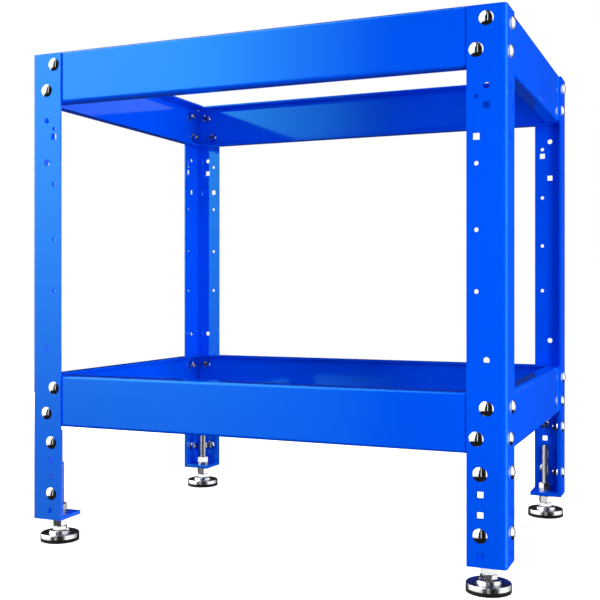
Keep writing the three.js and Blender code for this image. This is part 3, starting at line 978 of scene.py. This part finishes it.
def cup_profile():
    """The cup's section, from under its socket round the rim and over the boss to the socket."""
    rim, inner = CUP / 2, CUP / 2 - CUP_WALL
    under, dish = CUP_TOP - DISH - CUP_WALL, CUP_TOP - DISH
    profile = [
        (SOCKET_BODY / 2, SOCKET_LOW),
        (SOCKET_BODY / 2, under),
        (inner, under),
        (inner, CUP_LOW),
        (rim - CUP_FOOT_EDGE, CUP_LOW),
        (rim, CUP_LOW + CUP_FOOT_EDGE),
    ]
    for step in range(CUP_ROLL_STEPS + 1):
        angle = QUARTER * step / CUP_ROLL_STEPS
        profile.append((rim - CUP_ROLL * (1 - math.cos(angle)),
                        CUP_TOP - CUP_ROLL * (1 - math.sin(angle))))
    profile += [(inner - DISH_LEDGE, CUP_TOP - DISH_LEDGE_DROP), (inner - DISH_EDGE, dish)]
    for step in range(BOSS_STEPS + 1):
        share = step / BOSS_STEPS
        rise = share * share * (3 - 2 * share)
        profile.append((BOSS / 2 - BOSS_SLOPE * share, dish + (BOSS_TOP - dish) * rise))
    crest_inner = BOSS / 2 - BOSS_SLOPE - CREST
    profile += [
        (crest_inner, BOSS_TOP),
        (crest_inner - BOSS_SLOPE, BOSS_TOP - WELL),
        (SOCKET_MOUTH / 2, BOSS_TOP - WELL),
    ]
    mouth = math.pi - math.asin(SOCKET_MOUTH / SOCKET)
    for step in range(SOCKET_STEPS):
        angle = mouth * (1 - step / SOCKET_STEPS)
        profile.append((SOCKET / 2 * math.sin(angle), BALL_HEIGHT - SOCKET / 2 * math.cos(angle)))
    return profile


for corner in CORNERS:
    cup = bmesh.new()
    add_rings(cup, [turned_ring(radius, height, CUP_STEPS) for radius, height in cup_profile()])
    foot_piece(cup, corner, f"foot_cup_{corner}_pressed", zinc, f"swivel_{corner}",
               [f"foot_cup_{corner}"])


# Foot pads: black moulded rubber, slightly grainy. Each plugs its cup from below, where it is held
# by its own grip, and shows as a lip under the cup's rim.
RUBBER_DARK = (0.003, 0.003, 0.003, 1)
RUBBER_WORN = (0.009, 0.009, 0.009, 1)
RUBBER_SPECULAR = 0.25
RUBBER_ROUGHNESS = 0.6
GRAIN_ROUGHNESS = 0.25
GRAIN_SIZE = 0.8 * MM
GRAIN_DEPTH = 0.08 * MM
GRAIN_STRENGTH = 0.3

rubber, wire, place = new_material("black_moulded_rubber")
grain = noise(wire, place, GRAIN_SIZE, 3)
finish_surface(wire, {
    "Base Color": mixed(wire, grain, RUBBER_DARK, RUBBER_WORN),
    "Roughness": RUBBER_ROUGHNESS + GRAIN_ROUGHNESS * grain,
    "Specular IOR Level": RUBBER_SPECULAR,
    "Normal": bump(wire, GRAIN_STRENGTH, GRAIN_DEPTH, grain),
})

PAD = CUP / 2
PAD_LIP = 4.7 * MM
PAD_EDGE = 0.7 * MM
PAD_EDGE_MIDDLE = 0.2 * PAD_EDGE
PLUG_GAP = 0.3 * MM
PLUG = PAD - CUP_WALL - PLUG_GAP
PLUG_TOP = CUP_TOP - DISH - CUP_WALL - SEAT_GAP
PLUG_POCKET = SOCKET_BODY / 2 + PLUG_GAP
PAD_PROFILE = (
    (PAD - PAD_EDGE, 0),
    (PAD - PAD_EDGE_MIDDLE, PAD_EDGE_MIDDLE),
    (PAD, PAD_EDGE),
    (PAD, PAD_LIP - PAD_EDGE / 2),
    (PAD - PAD_EDGE / 2, PAD_LIP),
    (PLUG, PAD_LIP),
    (PLUG, PLUG_TOP),
    (PLUG_POCKET, PLUG_TOP),
    (PLUG_POCKET, SOCKET_LOW - SEAT_GAP),
)

for corner in CORNERS:
    pad = bmesh.new()
    add_rings(pad, [turned_ring(radius, height, CUP_STEPS) for radius, height in PAD_PROFILE])
    foot_piece(pad, corner, f"foot_pad_{corner}_moulded", rubber, f"swivel_{corner}",
               [f"foot_pad_{corner}"])


# The studio: a pale floor that runs to the horizon, and four tall soft boxes round the stand. What
# the gloss mirrors is the room: white panels along its two sides, the left one the brighter, and a
# narrow strip of light by the camera. The rest of the room is dim.
WHITE = (1, 1, 1, 1)
FLOOR_PALE = (0.85, 0.85, 0.85, 1)
FLOOR_BOUNCE = (0.15, 0.15, 0.15, 1)
FLOOR_GLOW = 0.72
FLOOR_REACH = 20


def background_rays(wire):
    """1 for rays that show the background: the camera's, and those off metal or through glass."""
    path = wire.add("ShaderNodeLightPath")
    return path.out("Is Camera Ray"), path.out("Is Glossy Ray") + path.out("Is Transmission Ray")


floor_paint = bpy.data.materials.new("studio_floor")
wire = empty_tree(floor_paint)
seen, mirrored = background_rays(wire)
bounce = wire.add("ShaderNodeBsdfDiffuse", None, {"Color": FLOOR_BOUNCE})
pale = wire.add("ShaderNodeBsdfDiffuse", None, {"Color": FLOOR_PALE})
glow = wire.add("ShaderNodeEmission", None, {"Color": WHITE, "Strength": FLOOR_GLOW})
clear = wire.add("ShaderNodeBsdfTransparent")
shown = wire.add("ShaderNodeAddShader", None, {0: pale, 1: glow})
lit = wire.add("ShaderNodeMixShader", None, {"Fac": seen, 1: bounce, 2: shown})
surface = wire.add("ShaderNodeMixShader", None, {"Fac": mirrored, 1: lit, 2: clear})
wire.add("ShaderNodeOutputMaterial", None, {"Surface": surface})

floor_corners = [(x * FLOOR_REACH, y * FLOOR_REACH, 0)
                 for x, y in ((-1, -1), (1, -1), (1, 1), (-1, 1))]
floor_mesh = bpy.data.meshes.new("studio_floor")
floor_mesh.from_pydata(floor_corners, [], [(0, 1, 2, 3)])
floor_mesh.materials.append(floor_paint)
floor = bpy.data.objects.new("studio_floor", floor_mesh)
bpy.context.scene.collection.objects.link(floor)

# Directions are told by how far they point along an axis, from -1 to 1: ahead of the camera, to
# its left, and up. Each light patch fades in over the width that follows its edge.
ROOM_LEVEL = 0.36
BACKDROP_MIRRORED = 0.015
LEFT_PANEL, RIGHT_PANEL = 0.7, 0.8
LEFT_GLOW, RIGHT_GLOW = 4.9, 0.9
SIDE_EDGE, SIDE_FADE = -0.1, 0.2
PANEL_FRONT, PANEL_BACK, PANEL_FADE = -0.775, 0.58, 0.06
PANEL_LOW, PANEL_LOW_FADE = -0.5, 0.2
PANEL_HIGH, PANEL_HIGH_FADE = 0.85, 0.15
LEFT_GLOW_FADE = 0.19
LEFT_GLOW_LEAST = 0.15
LEFT_GLOW_RISE, LEFT_GLOW_RISE_FADE = -0.2, 0.45
RIGHT_GLOW_END, RIGHT_GLOW_FADE = 0, 0.4
STRIP_TURN = math.radians(10)
STRIP_WIDTH = math.radians(7)
STRIP_LEVEL = 1.5
STRIP_FADE = 0.001


def along(wire, toward, axis):
    """How far a direction points along an axis, from -1 to 1."""
    return wire.add("ShaderNodeVectorMath", {"operation": "DOT_PRODUCT"},
                    {0: toward, 1: axis}).out("Value")


world = bpy.data.worlds.new("studio")
bpy.context.scene.world = world
wire = empty_tree(world)
seen, mirrored = background_rays(wire)
toward = wire.add("ShaderNodeTexCoord").out("Generated")
flattened = wire.add("ShaderNodeVectorMath", {"operation": "MULTIPLY"},
                     {0: toward, 1: (1, 1, 0)})
bearing = wire.add("ShaderNodeVectorMath", {"operation": "NORMALIZE"}, {0: flattened})
ahead = along(wire, bearing, (-math.sin(CAMERA_TURN), math.cos(CAMERA_TURN), 0))
leftward = along(wire, bearing, (-math.cos(CAMERA_TURN), -math.sin(CAMERA_TURN), 0))
upward = along(wire, toward, (0, 0, 1))

on_left = leftward.above(SIDE_EDGE, SIDE_FADE)
beside = ahead.above(PANEL_FRONT, PANEL_FADE) * (1 - ahead.above(PANEL_BACK, PANEL_FADE))
level = (upward.above(PANEL_LOW, PANEL_LOW_FADE)
         * (1 - upward.above(PANEL_HIGH, PANEL_HIGH_FADE)))
left_fade = ahead.above(PANEL_FRONT, LEFT_GLOW_FADE)
left_rise = LEFT_GLOW_LEAST + (1 - LEFT_GLOW_LEAST) * upward.above(
    LEFT_GLOW_RISE, LEFT_GLOW_RISE_FADE)
left_side = LEFT_PANEL * beside + LEFT_GLOW * left_fade * left_rise * beside
right_fade = 1 - ahead.above(RIGHT_GLOW_END, RIGHT_GLOW_FADE)
right_side = RIGHT_PANEL * beside + RIGHT_GLOW * beside * right_fade
panels = level * (on_left * left_side + (1 - on_left) * right_side)
strip = along(wire, bearing, (math.sin(STRIP_TURN), -math.cos(STRIP_TURN), 0))
strip_shown = STRIP_LEVEL * strip.above(math.cos(STRIP_WIDTH / 2), STRIP_FADE) * level
in_gloss = BACKDROP_MIRRORED + strip_shown + panels
lighting = ROOM_LEVEL * (1 - seen - mirrored)
background = wire.add("ShaderNodeBackground", None, {
    "Color": WHITE,
    "Strength": seen + in_gloss * mirrored + lighting,
})
wire.add("ShaderNodeOutputWorld", None, {"Surface": background})

SOFT_BOX_HEIGHT = 1.1
SOFT_BOXES = {
    "front": {"place": (0.90, -1.00, 0.42), "aim": (0.1, -0.25, 0.40), "width": 0.3,
              "power": 10.9},
    "left": {"place": (-0.28, -0.80, 0.45), "aim": (-0.28, -0.25, 0.42), "width": 0.6,
             "power": 2.05},
    "right": {"place": (2.2, 0.27, 0.55), "aim": (0.1, 0, 0.35), "width": 0.5, "power": 47},
    "back": {"place": (-1.5, 1.6, 0.55), "aim": (0, 0, 0.35), "width": 0.6, "power": 45},
}

for name, box in SOFT_BOXES.items():
    light = bpy.data.lights.new(f"{name}_box", "AREA")
    light.shape = "RECTANGLE"
    light.size, light.size_y = box["width"], SOFT_BOX_HEIGHT
    light.energy = box["power"]
    lamp = bpy.data.objects.new(f"{name}_box", light)
    lamp.location = box["place"]
    lamp.rotation_euler = (Vector(box["aim"]) - lamp.location).to_track_quat("-Z", "Y").to_euler()
    lamp.visible_camera = False
    lamp.visible_glossy = False
    bpy.context.scene.collection.objects.link(lamp)

bpy.context.scene.view_settings.view_transform = "Standard"
